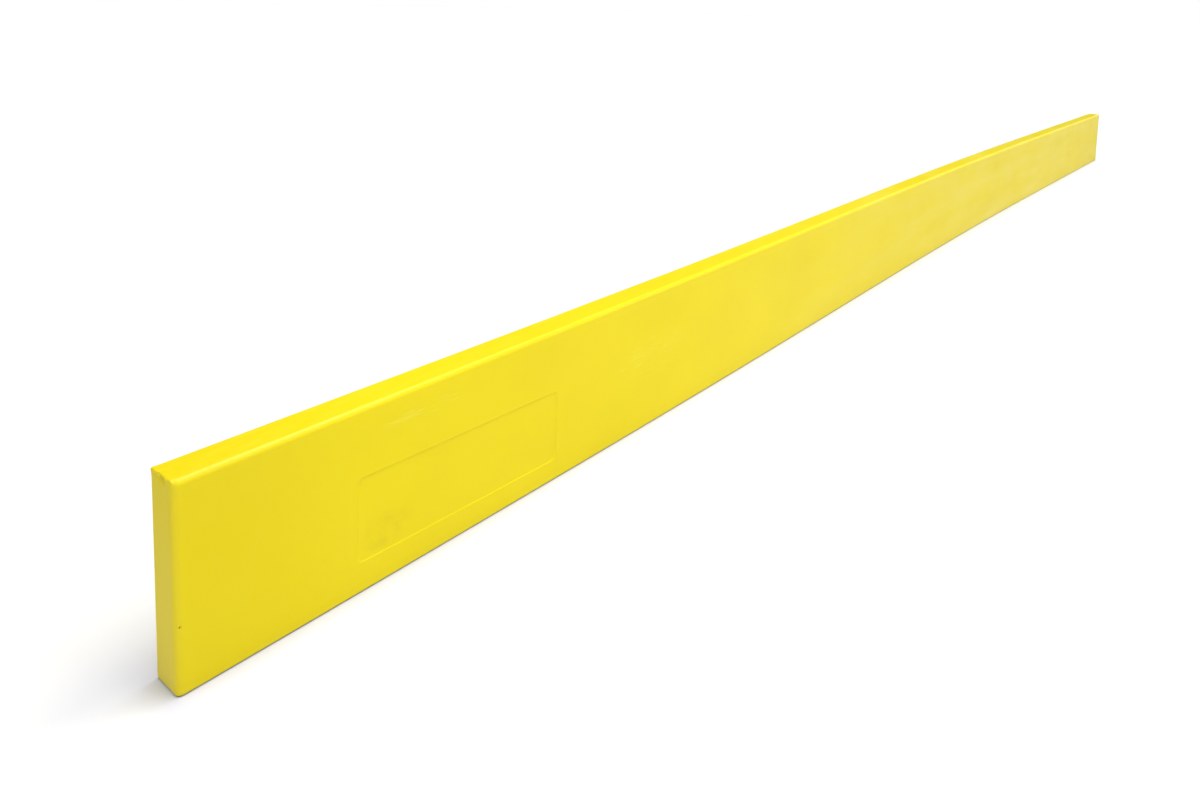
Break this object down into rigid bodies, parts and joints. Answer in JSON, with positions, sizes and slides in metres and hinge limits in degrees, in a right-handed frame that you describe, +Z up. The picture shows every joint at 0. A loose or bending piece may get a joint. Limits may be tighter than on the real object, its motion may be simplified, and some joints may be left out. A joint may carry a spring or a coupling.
{
  "type": "plow wear bar",
  "caption": "Straight one-piece moulded polyurethane wear bar for the lower edge of an ATV snow plow blade, rounded front edges and a shallow blank name-plate recess.",
  "frame": {"origin": "middle of the bar's bottom, on the surface that it stands on", "axes": "+X along the bar, away from the end with the name-plate recess; -Y out of the front face; +Y out of the back face; +Z up from the wear edge"},
  "size_m": [1.5, 0.015, 0.075],
  "materials": {
    "yellow_polyurethane": "as moulded, semi-gloss, faintly mottled"
  },
  "bodies": {
    "root": {"wear_bar": "yellow_polyurethane"}
  },
  "joints": []
}
